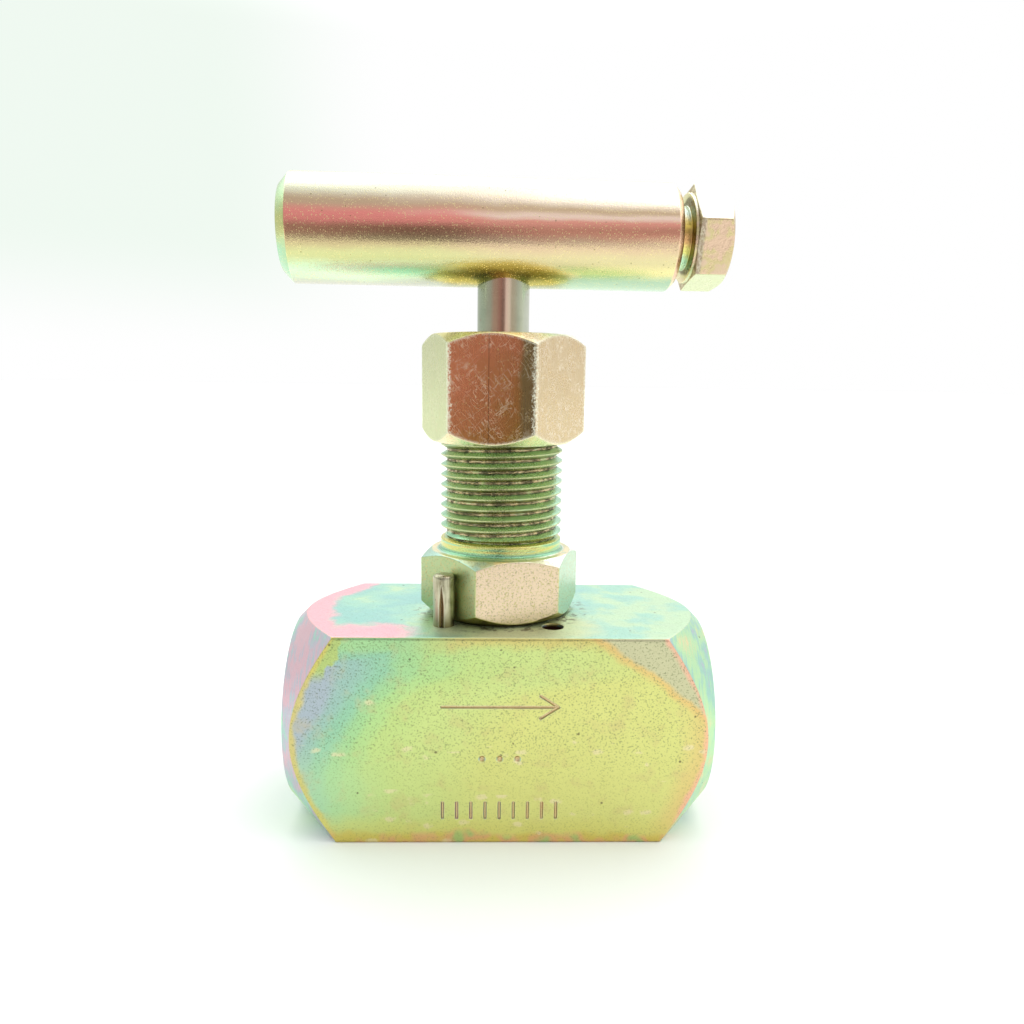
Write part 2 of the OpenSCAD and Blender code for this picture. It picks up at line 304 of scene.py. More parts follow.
hex_af = 22.225
neck_r, neck_pitch = 9.525, 1.5875
neck_root_r = neck_r - THREAD_DEPTH * neck_pitch
bonnet_hex_z, bonnet_hex_h = bar_w + 0.35, 9.7
collar_z = bonnet_hex_z + bonnet_hex_h
thread_z = collar_z + 1.9
packing_r, packing_floor_z = 6.35, 53
stem_r, stem_thread_r, stem_pitch = 3.97, 5.55, 1.27

handle_z, handle_turn = 90, radians(3)
handle_r, handle_left, handle_right = 7.94, -32.75, 25.8
bolt_r, washer_face_x, bolt_head_x = 4.7, 27.6, 28.0


# ---- surfaces
# Colours are screen values from 0 to 255. A surface's pattern is laid out in the CAD frame, in
# millimetres, so it stays on the metal when a part moves.


def srgb(red, green, blue):
    """The linear colour that shows as these screen values."""
    return tuple(((value / 255 + 0.055) / 1.055) ** 2.4 for value in (red, green, blue)) + (1,)


class Nodes:
    """Short names for the nodes of a tree. Values are sockets, numbers or colours."""

    def __init__(self, tree):
        self.tree = tree

    def node(self, kind, **settings):
        node = self.tree.nodes.new("ShaderNode" + kind)
        for name, value in settings.items():
            setattr(node, name, value)
        return node

    def feed(self, socket, value):
        """Links a socket, or sets it."""
        if isinstance(value, bpy.types.NodeSocket):
            self.tree.links.new(value, socket)
        elif value is not None:
            socket.default_value = value

    def split(self, vector):
        node = self.node("SeparateXYZ")
        self.feed(node.inputs[0], vector)
        return tuple(node.outputs)

    def calc(self, operation, *values):
        node = self.node("Math", operation=operation)
        for socket, value in zip(node.inputs, values):
            self.feed(socket, value)
        return node.outputs[0]

    def times(self, *values):
        """The values multiplied together."""
        total = values[0]
        for value in values[1:]:
            total = self.calc("MULTIPLY", total, value)
        return total

    def away(self, value, middle=0.0):
        """How far a value is from a middle one."""
        return self.calc("ABSOLUTE", self.calc("SUBTRACT", value, middle))

    def fade(self, value, zero_at, one_at):
        """0 to 1 while value goes from zero_at to one_at."""
        node = self.node("MapRange", interpolation_type="SMOOTHSTEP")
        for socket, entry in zip(node.inputs, (value, zero_at, one_at)):
            self.feed(socket, entry)
        return node.outputs[0]

    def blend(self, share, below, above):
        """The number below where share is 0 and above where it is 1."""
        return self.calc("MULTIPLY_ADD", self.calc("SUBTRACT", above, below), share, below)


class Surface(Nodes):
    """A metal or other material, and the patterns that its nodes make."""

    def __init__(self, name, metallic=1.0):
        self.material = bpy.data.materials.new(name)
        self.material.use_nodes = True
        super().__init__(self.material.node_tree)
        self.shader = self.tree.nodes["Principled BSDF"]
        self.shader.inputs["Metallic"].default_value = metallic
        where = self.node("TexCoord")
        self.place = self.vector("SCALE", where.outputs["Object"], Scale=1 / MM)
        self.x, self.y, self.z = self.split(self.place)
        self.facing_x, self.facing_y, self.facing_z = self.split(where.outputs["Normal"])

    def vector(self, operation, *values, **named):
        node = self.node("VectorMath", operation=operation)
        for socket, value in zip(node.inputs, values):
            self.feed(socket, value)
        for name, value in named.items():
            self.feed(node.inputs[name], value)
        return node.outputs[0]

    def weighted(self, *terms, start=0.0):
        """start plus each (value, weight)."""
        total = start
        for value, weight in terms:
            total = self.calc("MULTIPLY_ADD", value, weight, total)
        return total

    def distance(self, *terms):
        """Distance from a place, whose terms are (coordinate, centre, scale)."""
        total = 0.0
        for value, centre, scale in terms:
            off = self.times(self.calc("SUBTRACT", value, centre), scale)
            total = self.calc("MULTIPLY_ADD", off, off, total)
        return self.calc("SQRT", total)

    def texture(self, kind, size, stretch, shift):
        """A texture node laid out so that one cell is size mm across, or size * stretch."""
        scaled = self.vector("MULTIPLY_ADD", self.place, [1 / (size * s) for s in stretch], [shift] * 3)
        node = self.node(kind)
        self.feed(node.inputs["Vector"], scaled)
        node.inputs["Scale"].default_value = 1
        return node

    def noise(self, size, detail=2.0, rough=0.5, stretch=(1, 1, 1), shift=0.0):
        """Cloudy noise about 0.5, whose blotches are size mm across, or size * stretch."""
        node = self.texture("TexNoise", size, stretch, shift)
        node.inputs["Detail"].default_value = detail
        node.inputs["Roughness"].default_value = rough
        return node.outputs[0]

    def cells(self, size, stretch=(1, 1, 1), shift=0.0):
        """(distance to a random point, that point's own random number). Points are size mm apart."""
        node = self.texture("TexVoronoi", size, stretch, shift)
        return node.outputs["Distance"], self.split(node.outputs["Color"])[0]

    def dots(self, size, share, radius, stretch=(1, 1, 1), shift=0.0):
        """1 inside round dots on a share of random points size mm apart; radius is a share of size."""
        distance, chance = self.cells(size, stretch, shift)
        round_dot = self.fade(distance, radius, radius * 0.6)
        return self.times(round_dot, self.calc("LESS_THAN", chance, share))

    def scratches(self, size, width, tilt):
        """1 on thin lines that wander about a direction tilt degrees from upright."""
        turn = self.node("VectorRotate", rotation_type="Y_AXIS")
        self.feed(turn.inputs["Vector"], self.place)
        turn.inputs["Angle"].default_value = radians(tilt)
        node = self.node("TexNoise")
        stretched = self.vector("MULTIPLY", turn.outputs[0], (1 / size, 1 / size, 0.2 / size))
        self.feed(node.inputs["Vector"], stretched)
        node.inputs["Scale"].default_value = 1
        return self.fade(self.away(node.outputs[0], 0.5), width, 0.0)

    def edge_band(self, width):
        """1 along outer edges, out to about width mm from them."""
        soft = self.node("Bevel", samples=4)
        soft.inputs["Radius"].default_value = width * MM
        true = self.node("NewGeometry").outputs["Normal"]
        agree = self.node("VectorMath", operation="DOT_PRODUCT")
        self.feed(agree.inputs[0], soft.outputs[0])
        self.feed(agree.inputs[1], true)
        return self.fade(agree.outputs["Value"], 0.995, 0.93)

    def ramp(self, value, *stops):
        """Colours along a value from 0 to 1, given as (place, colour)."""
        node = self.node("ValToRGB")
        node.color_ramp.interpolation = "EASE"
        line = node.color_ramp.elements
        while len(line) < len(stops):
            line.new(1)
        for element, (at, color) in zip(line, stops):
            element.position = at
            element.color = srgb(*color)
        self.feed(node.inputs[0], value)
        return node.outputs[0]

    def mix(self, share, below, above, most=1):
        """Colour below where share is 0, and most of the way to colour above where it is 1."""
        share = share if most == 1 else self.times(share, most)
        node = self.node("Mix", data_type="RGBA")
        for index, value in ((0, share), (6, below), (7, above)):
            self.feed(node.inputs[index], srgb(*value) if isinstance(value, tuple) else value)
        return node.outputs[2]

    def paint(self, share, above, most=1):
        """Covers the colour so far with another one."""
        self.color = self.mix(share, self.color, above, most)

    def finish(self, rough, *bumps):
        """Connects colour, roughness and bumps, given as (height, depth in mm) from coarse to fine."""
        self.feed(self.shader.inputs["Base Color"], self.color)
        self.feed(self.shader.inputs["Roughness"], rough)
        normal = None
        for height, depth in bumps:
            bump = self.node("Bump")
            bump.inputs["Distance"].default_value = depth * MM
            self.feed(bump.inputs["Height"], height)
            self.feed(bump.inputs["Normal"], normal)
            normal = bump.outputs[0]
        self.feed(self.shader.inputs["Normal"], normal)
        return self.material


def body_surface():
    """Chromated bar. The film runs from violet at one corner through green and yellow to pink."""
    s = Surface("zinc_body")
    sides = s.fade(s.away(s.facing_y), 0.75, 0.9)
    top = s.fade(s.facing_z, 0.75, 0.9)
    end = s.fade(s.away(s.facing_x), 0.4, 0.6)
    drift = s.noise(8, 3, 0.55)
    ripple = s.noise(2.5, 3, 0.6, shift=7)
    warp = s.weighted((drift, 11), (ripple, 5), start=-8)
    grain = s.noise(0.27, 2, 0.6)
    radius = s.distance((s.y, 0, 1), (s.z, flow_z, 1))
    from_rim = s.weighted((s.away(s.x), -1), (radius, -1), start=half_len + end_face_r)
    left = s.fade(s.x, 2, -2)

    # front and back: violet at the upper left, through teal and green to yellow on the right
    start_x = s.weighted((s.fade(s.z, 10, 27), 6.5), start=-31.5)
    rise = s.weighted((s.fade(s.z, 21, 27), -0.65), start=1.6)
    film = s.calc("MULTIPLY_ADD", s.calc("SUBTRACT", s.x, start_x), rise, s.times(warp, 0.4))
    film = s.calc("MAXIMUM", film, s.times(s.fade(s.z, 26.5, 30.5), 11))
    s.color = s.ramp(s.calc("DIVIDE", film, 50), (0, (170, 180, 192)), (0.07, (158, 190, 182)),
                     (0.15, (153, 199, 170)), (0.23, (168, 208, 153)), (0.3, (182, 212, 145)),
                     (0.4, (196, 214, 140)), (0.6, (203, 215, 141)), (1.0, (214, 213, 135)))
    low_left = s.times(s.fade(s.z, 18, 8), s.fade(s.x, -14, -24))
    s.paint(low_left, (190, 218, 168), 0.45)
    brown = s.fade(s.noise(4, 3, 0.6, shift=2), 0.5, 0.75)
    s.paint(brown, (202, 180, 130), 0.45)
    ragged = s.calc("ADD", from_rim, s.times(warp, 0.25))
    glow = s.times(s.fade(ragged, 5, 0.5), s.fade(s.weighted((s.x, 1), (s.z, -0.5)), 8, 24))
    s.paint(glow, (226, 186, 128), 0.6)
    corner = s.times(s.fade(s.calc("ADD", from_rim, warp), 3.4, 2.6),
                     s.times(s.fade(s.z, 24.5, 27), left))
    s.paint(corner, (182, 198, 126))
    upper = s.times(s.fade(s.calc("ADD", s.z, s.times(warp, 0.3)), 29, 31.2), s.fade(s.x, -16, -2))
    s.paint(upper, (214, 184, 114), 0.6)
    patch = s.calc("ADD", s.weighted((s.x, 0.576), (s.z, 0.818), start=-33.9), s.times(warp, 0.22))
    s.paint(s.fade(patch, -1.2, 0.1), (226, 188, 126), 0.8)
    s.paint(s.fade(patch, 0.0, 0.8), (200, 196, 160))
    rim_color = s.ramp(s.fade(s.x, -20, 20), (0, (214, 194, 108)), (1, (240, 180, 158)))
    s.paint(s.fade(ragged, 1.0, 0.1), rim_color, 0.8)
    foot = s.calc("ADD", s.z, s.times(warp, 0.3))
    s.paint(s.fade(foot, 5, 2), (215, 208, 121), 0.6)
    foot_color = s.ramp(s.noise(5, 2, shift=3), (0.38, (166, 190, 124)), (0.47, (222, 168, 126)),
                        (0.58, (212, 190, 100)))
    s.paint(s.fade(foot, 2.2, 0.8), foot_color, 0.85)
    row = s.weighted((s.fade(s.away(s.z, 14.6), 1.6, 0.3), 0.5), (s.fade(s.z, 12, 5), 0.16), start=0.03)
    spot, chance = s.cells(1.7, (1.6, 1, 0.8), 11)
    ragged_spot = s.weighted((spot, 1), (s.noise(0.8, 3, 0.6), 0.7))
    stain = s.times(s.fade(ragged_spot, 0.78, 0.5), s.calc("LESS_THAN", chance, row))
    s.paint(stain, (232, 216, 178), 0.6)

    # top: mint and cyan, pink along the left rim and the near left edge, a rubbed patch by the bonnet
    mint = s.ramp(s.weighted((drift, 1), (s.x, 0.004)), (0.35, (156, 202, 194)), (0.5, (168, 210, 192)),
                  (0.64, (192, 218, 184)))
    near = s.times(s.fade(s.weighted((s.y, 1), (warp, 0.7)), -8, -11),
                   s.fade(s.weighted((s.x, 1), (warp, 0.9)), -11, -15))
    rim = s.times(s.fade(s.weighted((ragged, 1), (warp, 0.4)), 4.5, 2), left)
    mint = s.mix(s.calc("MAXIMUM", near, rim), mint, (244, 182, 192))
    oval = s.distance((s.x, 1.5, 0.72), (s.y, -10, 1))
    smudge = s.fade(s.weighted((oval, 1), (warp, 0.8)), 11, 6)
    mint = s.mix(smudge, mint, (222, 226, 184), 0.85)
    s.paint(top, mint)

    # ends: turned, so streaked round the flow line
    streak = s.noise(1.3, 3, 0.6, (0.25, 2.5, 2.5))
    tone = s.weighted((streak, 0.35), (drift, 0.7), (s.x, 0.0016), (s.z, -0.004), start=0.05)
    ends = s.ramp(tone, (0.36, (216, 180, 192)), (0.44, (190, 186, 200)), (0.5, (164, 206, 192)),
                  (0.58, (186, 222, 176)), (0.7, (226, 214, 168)))
    s.paint(end, ends)

    # pits, grime and painted contact shade round the bonnet, stamped marks, grease and painted shade in
    # the holes, and a painted highlight along the edges
    pits = s.fade(grain, 0.46, 0.34)
    flat = s.calc("MAXIMUM", sides, s.times(top, 0.3))
    upper_half = s.weighted((s.fade(s.z, 8, 17), 0.32), start=0.2)
    s.paint(s.times(pits, flat, upper_half), (108, 118, 84))
    s.paint(s.dots(1.9, 0.12, 0.13, shift=5), (84, 74, 58), 0.7)
    reach = s.distance((s.x, 0, 1), (s.y, 0, 1))
    # painted contact shade with grime: a dark ring on the top round the foot of the bonnet
    grime_and_contact_shade = s.times(s.fade(s.away(reach, 12), 2.6, 0.6),
                            s.fade(s.noise(1.6, 4, 0.7, shift=12), 0.5, 0.62))
    s.paint(s.times(grime_and_contact_shade, top), (92, 78, 58), 0.7)
    stamped = s.times(s.fade(s.y, body_low.y + 0.03, body_low.y + 0.2), s.fade(from_rim, 0.6, 1.2))
    stamped = s.times(stamped, s.fade(s.y, body_low.y + 1, body_low.y + 0.9))
    stamped = s.times(stamped, s.fade(s.away(s.z, flow_z), 15, 14))
    s.paint(stamped, (206, 150, 130), 0.6)
    # grease and painted shade: the insides of the pin holes are painted dark brown
    holes = s.calc("MINIMUM", s.distance((s.x, spare_place[0], 1), (s.y, spare_place[1], 1)),
                   s.distance((s.x, pin_place[0], 1), (s.y, pin_place[1], 1)))
    inside = s.times(s.fade(holes, pin_r + 0.06, pin_r), s.fade(s.z, bar_w - 0.1, bar_w - 0.5))
    s.paint(inside, (70, 44, 30))
    # painted highlight along the outer edges, partly worn film
    s.paint(s.edge_band(0.25), (238, 232, 196), 0.5)
    rubbed = s.times(smudge, top)
    rough = s.weighted((ripple, 0.2), (rubbed, 0.2), (pits, 0.12), (inside, 0.4), start=0.26)
    return s.finish(rough, (drift, 0.1), (s.noise(0.9, 2, 0.5), 0.05), (grain, 0.05))


def bonnet_surface():
    """Machined and chromated. Each flat took the film differently, and the thread holds old grease."""
    s = Surface("zinc_bonnet")
    drift = s.noise(5, 3, 0.55)
    grain = s.noise(0.3, 2, 0.6)
    radius = s.distance((s.x, 0, 1), (s.y, 0, 1))
    tint = s.weighted((s.facing_x, 0.5), (drift, 0.16), start=0.42)
    s.color = s.ramp(tint, (0.04, (178, 196, 160)), (0.2, (168, 184, 130)), (0.42, (206, 200, 150)),
                     (0.6, (228, 204, 178)), (0.75, (218, 208, 164)), (0.92, (190, 216, 192)))
    s.paint(s.fade(s.facing_z, -0.3, -0.6), (176, 168, 100))
    # top chamfer: film colours, turning near-white on its right side as a painted highlight
    slope = s.ramp(s.weighted((s.facing_x, 0.4), (drift, 0.7), start=0.15), (0.3, (178, 206, 196)),
                   (0.4, (206, 214, 180)), (0.5, (240, 222, 180)), (0.58, (206, 206, 166)),
                   (0.7, (248, 248, 238)))
    s.paint(s.fade(s.facing_z, 0.3, 0.7), slope)
    fleck = s.noise(0.3, 3, 0.7, shift=6)
    flats = s.fade(s.away(s.facing_z), 0.3, 0.15)
    s.paint(s.times(s.fade(fleck, 0.5, 0.66), flats), (198, 184, 132))
    pits = s.calc("MAXIMUM", s.fade(grain, 0.4, 0.32), s.dots(0.4, 0.5, 0.26))
    s.paint(pits, (124, 122, 84), 0.5)

    # collar, then the thread above it
    collar = s.fade(s.z, collar_z, collar_z + 0.2)
    rings = s.noise(1.5, 2, 0.5, (8, 8, 0.35), 4)
    polished = s.ramp(s.weighted((rings, 0.8), (drift, 0.4)), (0.44, (150, 196, 152)),
                      (0.54, (196, 210, 138)), (0.64, (214, 200, 124)), (0.74, (168, 210, 166)))
    polished = s.mix(s.fade(s.z, collar_z + 0.9, collar_z + 0.4), polished, (138, 184, 152))
    s.paint(collar, polished)
    thread = s.fade(s.z, thread_z, thread_z + 0.3)
    worn = s.noise(2.2, 3, 0.6, (1, 1, 0.3), 9)
    flank = s.weighted((s.facing_z, 0.5), (drift, 0.3), start=0.35)
    metal = s.ramp(flank, (0.1, (190, 176, 122)), (0.42, (176, 176, 122)), (0.52, (178, 184, 130)),
                   (0.62, (150, 200, 162)), (0.9, (162, 208, 174)))
    root = s.fade(s.weighted((radius, 1), (worn, 0.3)), 8.76, 8.7)
    rusty = s.ramp(worn, (0.42, (128, 112, 72)), (0.5, (190, 166, 122)), (0.62, (208, 152, 138)))
    metal = s.mix(root, metal, rusty)
    s.paint(thread, metal)
    grease = s.times(s.fade(s.weighted((radius, 1), (worn, 0.9)), 9.25, 8.98),
                     s.fade(s.noise(0.6, 4, 0.75, (1.6, 1.6, 0.5), 2), 0.46, 0.55))
    grease = s.times(grease, thread)
    s.paint(grease, (62, 54, 34), 0.85)
    s.paint(s.edge_band(0.2), (226, 226, 200), 0.35)
    rough = s.weighted((drift, 0.16), (pits, 0.15), (grease, 0.35), (collar, -0.06), start=0.24)
    return s.finish(rough, (drift, 0.06), (rings, 0.02), (grain, 0.04))


def nut_surface():
    """Drawn hexagonal bar with fine lines along it, handling scratches and a copper film on one flat."""
    s = Surface("zinc_nut")
    drift = s.noise(4.5, 3, 0.6)
    mottle = s.noise(1.4, 4, 0.65, (1, 1, 1.6), 5)
    drawn = s.noise(0.22, 3, 0.6, (1, 1, 40))
    grain = s.noise(0.25, 2, 0.6)
    turn_sin, turn_cos = 0.155, 0.988
    toward = s.weighted((s.facing_x, -turn_sin), (s.facing_y, -turn_cos))
    aside = s.weighted((s.x, turn_cos), (s.y, -turn_sin))
    copper = s.fade(toward, 0.85, 0.95)
    around = s.weighted((s.facing_x, 0.5), (drift, 0.2), (mottle, 0.25), start=0.28)
    s.color = s.ramp(around, (0.1, (192, 196, 146)), (0.45, (204, 192, 142)),
                     (0.7, (212, 184, 146)), (0.95, (208, 186, 150)))
    redness = s.weighted((aside, 0.04), (s.z, -0.04), (drift, 0.5), (mottle, 0.3), start=2.68)
    flat = s.ramp(redness, (0.15, (210, 130, 94)), (0.42, (194, 124, 84)), (0.66, (174, 118, 68)),
                  (0.88, (160, 120, 56)))
    flat = s.mix(s.fade(s.weighted((aside, 1), (drift, 1.5)), 4.4, 5.6), flat, (140, 114, 76))
    s.paint(copper, flat)
    # chamfers: gold film, turning near-white on the right as a painted highlight
    slope = s.fade(s.away(s.facing_z), 0.3, 0.6)
    cone = s.ramp(s.weighted((s.facing_x, 0.5), (drift, 0.4), start=0.3), (0.2, (206, 194, 134)),
                  (0.48, (250, 232, 160)), (0.62, (255, 250, 234)))
    s.paint(slope, cone)
    # painted reflection of the bright floor: the lower chamfer is pale gold all round
    s.paint(s.fade(s.facing_z, -0.3, -0.6), (255, 232, 188))
    scratch = s.calc("MAXIMUM", s.scratches(0.7, 0.02, 35), s.scratches(0.9, 0.016, -50))
    scratch = s.calc("MAXIMUM", scratch, s.fade(mottle, 0.6, 0.72))
    scratch = s.times(scratch, s.fade(s.noise(3.2, 3, shift=6), 0.37, 0.58))
    handled = s.weighted((s.fade(s.facing_x, 0.4, 0.7), 0.5), start=0.42)
    s.paint(s.times(scratch, handled), (236, 222, 202))
    seam = s.times(s.fade(s.away(s.calc("ADD", aside, 0.4)), 0.09, 0.02), copper)
    s.paint(seam, (96, 66, 48), 0.6)
    speck = s.dots(0.45, 0.35, 0.28)
    s.paint(speck, (232, 206, 140), 0.4)
    ragged = s.noise(0.4, 3, 0.7, shift=9)
    off_axis = s.distance((s.x, 0, 1), (s.y, 0, 1))
    corner = s.fade(s.weighted((off_axis, 1), (ragged, 0.9)), 13.0, 13.1)
    corner = s.times(corner, s.fade(s.noise(0.24, 2, 0.6, shift=3), 0.44, 0.58))
    edge = s.times(s.edge_band(0.7), s.fade(ragged, 0.36, 0.46))
    edge = s.calc("MAXIMUM", edge, corner)
    s.paint(edge, (246, 244, 228), 0.85)
    rough = s.weighted((drift, 0.12), (scratch, 0.2), (drawn, 0.1), (edge, 0.4), start=0.16)
    return s.finish(rough, (drift, 0.05), (drawn, 0.012), (grain, 0.02))


def bar_surface():
    """Drawn round bar. The film lies in bands along it, with painted highlights among them, sprinkled
    with fine pits and painted glints.
    """
    s = Surface("zinc_bar")
    drift = s.noise(7, 3, 0.55, (2.2, 1, 1))
    grain = s.noise(0.2, 2, 0.65)
    drawn = s.noise(0.3, 3, 0.6, (30, 1, 1))
    band = s.weighted((s.facing_z, 0.5), (drift, 0.1), (drawn, 0.03), start=0.435)
    # the film's colours from the bar's underside up to its top, left of the stem and right of it; the
    # near-white bands are painted highlights
    cool = s.ramp(band, (0.0, (186, 178, 168)), (0.1, (226, 250, 212)), (0.21, (208, 207, 150)),
                  (0.32, (196, 174, 134)), (0.43, (196, 142, 115)), (0.51, (248, 154, 142)),
                  (0.56, (244, 150, 141)), (0.68, (208, 178, 148)), (0.82, (248, 246, 220)),
                  (0.88, (246, 249, 222)), (1.0, (180, 196, 134)))
    warm = s.ramp(band, (0.0, (176, 200, 172)), (0.06, (172, 196, 170)), (0.12, (244, 229, 170)),
                  (0.2, (218, 204, 158)), (0.34, (214, 184, 153)), (0.46, (216, 150, 127)),
                  (0.53, (244, 168, 148)), (0.58, (255, 225, 205)), (0.63, (218, 190, 156)),
                  (0.71, (252, 237, 216)), (0.85, (250, 245, 226)), (1.0, (196, 206, 150)))
    s.color = s.mix(s.fade(s.weighted((s.x, 1), (drift, 20)), -8, 14), cool, warm)
    end = s.fade(s.away(s.facing_x), 0.3, 0.5)
    left_end = s.ramp(s.weighted((drift, 0.6), (s.facing_z, 0.3), start=0.2), (0.3, (164, 204, 170)),
                      (0.5, (196, 196, 132)), (0.7, (182, 206, 164)))
    right_end = s.ramp(drift, (0.4, (226, 186, 158)), (0.6, (222, 212, 160)))
    s.paint(end, s.mix(s.fade(s.x, -10, 10), left_end, right_end))
    # painted reflection of the nut's top: dark olive under the bar beside the stem
    painted_reflection_by_stem = s.fade(s.distance((s.x, 0, 0.1), (s.facing_z, -1, 2.35)), 1.05, 0.7)
    s.paint(painted_reflection_by_stem, (150, 140, 74), 0.7)
    # painted glints: pale specks, thickest in that patch and kept off the top
    speck = s.dots(0.3, 0.5, 0.36)
    shade = s.weighted((painted_reflection_by_stem, 0.4), (s.fade(s.facing_z, 0.98, 0.7), 0.55))
    s.paint(s.times(speck, shade), (252, 236, 170))
    pit = s.dots(0.8, 0.16, 0.18, shift=3)
    s.paint(pit, (120, 112, 66), 0.55)
    s.paint(s.dots(6, 0.3, 0.05, shift=8), (70, 56, 40))
    s.paint(s.edge_band(0.25), (240, 240, 214), 0.4)
    rough = s.weighted((drift, 0.08), (grain, 0.12), (speck, 0.1), start=0.1)
    return s.finish(rough, (drift, 0.05), (drawn, 0.008), (grain, 0.022))


def bolt_surface():
    """Forged head, rough at the foot of each flat. It is olive under the head, with gold and cyan rings
    on the shank."""
    s = Surface("zinc_bolt")
    drift = s.noise(3, 3, 0.6)
    grain = s.noise(0.3, 3, 0.65)
    forged = s.noise(0.5, 4, 0.75, shift=4)
    along = s.weighted((s.x, cos(handle_turn)), (s.y, sin(handle_turn)))
    flats = s.ramp(drift, (0.4, (216, 184, 160)), (0.5, (208, 190, 144)), (0.62, (216, 188, 164)))
    s.color = s.mix(s.fade(s.facing_z, -0.55, -0.8), flats, (212, 216, 174))
    s.paint(s.fade(s.facing_z, 0.3, 0.6), (252, 248, 230))
    # olive film under the head, darkened next to the shank as painted shade in the corner
    under = s.fade(s.facing_x, -0.6, -0.85)
    off_axis = s.distance((s.y, 0, 1), (s.z, handle_z, 1))
    olive = s.ramp(s.fade(s.weighted((off_axis, 1), (drift, 1)), 5.2, 7.6), (0.2, (122, 124, 66)),
                   (0.5, (232, 232, 176)), (0.8, (244, 232, 184)))
    s.paint(under, olive)
    shank = s.times(s.fade(along, washer_face_x + 0.1, washer_face_x - 0.1),
                    s.calc("SUBTRACT", 1.0, under))
    # gold and cyan film round the shank; its near-white top is a painted highlight
    rings = s.ramp(s.weighted((s.facing_z, 0.5), (drift, 0.3), start=0.35), (0.08, (204, 236, 206)),
                   (0.22, (236, 228, 136)), (0.4, (244, 190, 130)), (0.52, (214, 172, 104)),
                   (0.66, (244, 212, 112)), (0.85, (232, 246, 240)))
    s.paint(shank, rings)
    rusty = s.times(s.fade(s.weighted((along, 1), (forged, 1)), bolt_head_x + 1.5, bolt_head_x + 1.1),
                    s.fade(s.away(s.facing_z), 0.75, 0.5))
    rusty = s.times(rusty, s.fade(along, bolt_head_x - 0.1, bolt_head_x))
    s.paint(rusty, s.ramp(forged, (0.42, (158, 138, 122)), (0.6, (216, 208, 190))), 0.75)
    s.paint(s.edge_band(0.2), (196, 190, 150), 0.4)
    rough = s.weighted((drift, 0.2), (rusty, 0.25), start=0.18)
    return s.finish(rough, (drift, 0.12), (forged, 0.03), (grain, 0.05))


def ground_steel(name, color, rust, lines=(40, 40, 1), size=0.12, bands=()):
    """Bare steel with fine grinding lines, a few darker streaks and specks of rust. Bands are a
    painted reflection and highlight across it, from its -X side to its +X side."""
    s = Surface(name)
    drift = s.noise(3.5, 3, 0.6)
    ground = s.noise(size, 3, 0.6, lines)
    darker = tuple(value * 0.86 for value in color)
    paler = tuple(value * 0.6 + 95 for value in color)
    tone = s.weighted((drift, 0.8), (ground, 0.2))
    s.color = s.ramp(tone, (0.35, darker), (0.55, color), (0.75, paler))
    if bands:
        painted_reflection = s.ramp(s.weighted((s.facing_x, 0.5), (drift, 0.04), start=0.48), *bands)
        s.paint(0.8, painted_reflection)
    s.paint(s.dots(0.9, 0.2, 0.18), rust, 0.5)
    s.paint(s.edge_band(0.2), (226, 222, 214), 0.4)
    rough = s.weighted((drift, 0.12), (ground, 0.08), start=0.1)
    return s.finish(rough, (ground, 0.003), (s.noise(0.3), 0.006))


# painted reflection of the camera in the reddish middle, and a painted highlight in the pale band right
# of it
STEM_BANDS = ((0.11, (146, 158, 136)), (0.23, (176, 174, 152)), (0.34, (192, 146, 122)),
              (0.45, (190, 122, 104)), (0.5, (206, 152, 134)), (0.55, (255, 216, 194)),
              (0.6, (250, 222, 196)), (0.66, (204, 188, 158)), (0.8, (196, 202, 176)),
              (0.93, (196, 202, 186)))


def pin_surface():
    """The pin is ground along its length, and its pressed grooves are brown inside."""
    s = Surface("bare_steel_pin")
    drift = s.noise(3, 3, 0.6)
    ground = s.noise(0.15, 3, 0.6, (1, 1, 25))
    radius = s.distance((s.x, pin_place[0], 1), (s.y, pin_place[1], 1))
    tone = s.weighted((drift, 0.6), (ground, 0.5))
    s.color = s.ramp(tone, (0.35, (138, 130, 106)), (0.6, (200, 194, 168)))
    groove = s.times(s.fade(radius, pin_r - 0.02, pin_r - 0.14), s.fade(s.facing_z, 0.6, 0.3))
    s.paint(groove, (130, 108, 76))
    foot = s.fade(s.weighted((s.z, 1), (drift, 2)), bar_w + 4.5, bar_w + 1)
    s.paint(foot, (116, 104, 76), 0.75)
    s.paint(s.dots(0.7, 0.2, 0.22), (104, 90, 74), 0.5)
    s.paint(s.edge_band(0.2), (232, 226, 214), 0.5)
    rough = s.weighted((drift, 0.15), (ground, 0.15), start=0.16)
    return s.finish(rough, (ground, 0.015), (s.noise(0.25), 0.012))


def gasket_surface():
    """Soft iron ring, dull and slightly rusted."""
    s = Surface("gasket_iron", 0.8)
    mottle = s.noise(0.8, 4, 0.65)
    s.color = s.ramp(mottle, (0.35, (92, 84, 76)), (0.5, (120, 112, 104)), (0.66, (140, 104, 78)))
    return s.finish(s.weighted((mottle, 0.3), start=0.4), (mottle, 0.04))


def ptfe_surface():
    """White packing rings with faint moulding clouds and turning lines."""
    s = Surface("ptfe", 0.0)
    cloud = s.noise(2.5, 3, 0.6)
    lines = s.noise(0.2, 2, 0.5, (30, 30, 1))
    s.color = s.ramp(cloud, (0.35, (226, 224, 216)), (0.6, (244, 243, 238)))
    return s.finish(s.weighted((cloud, 0.2), start=0.4), (lines, 0.01))


# ---- body

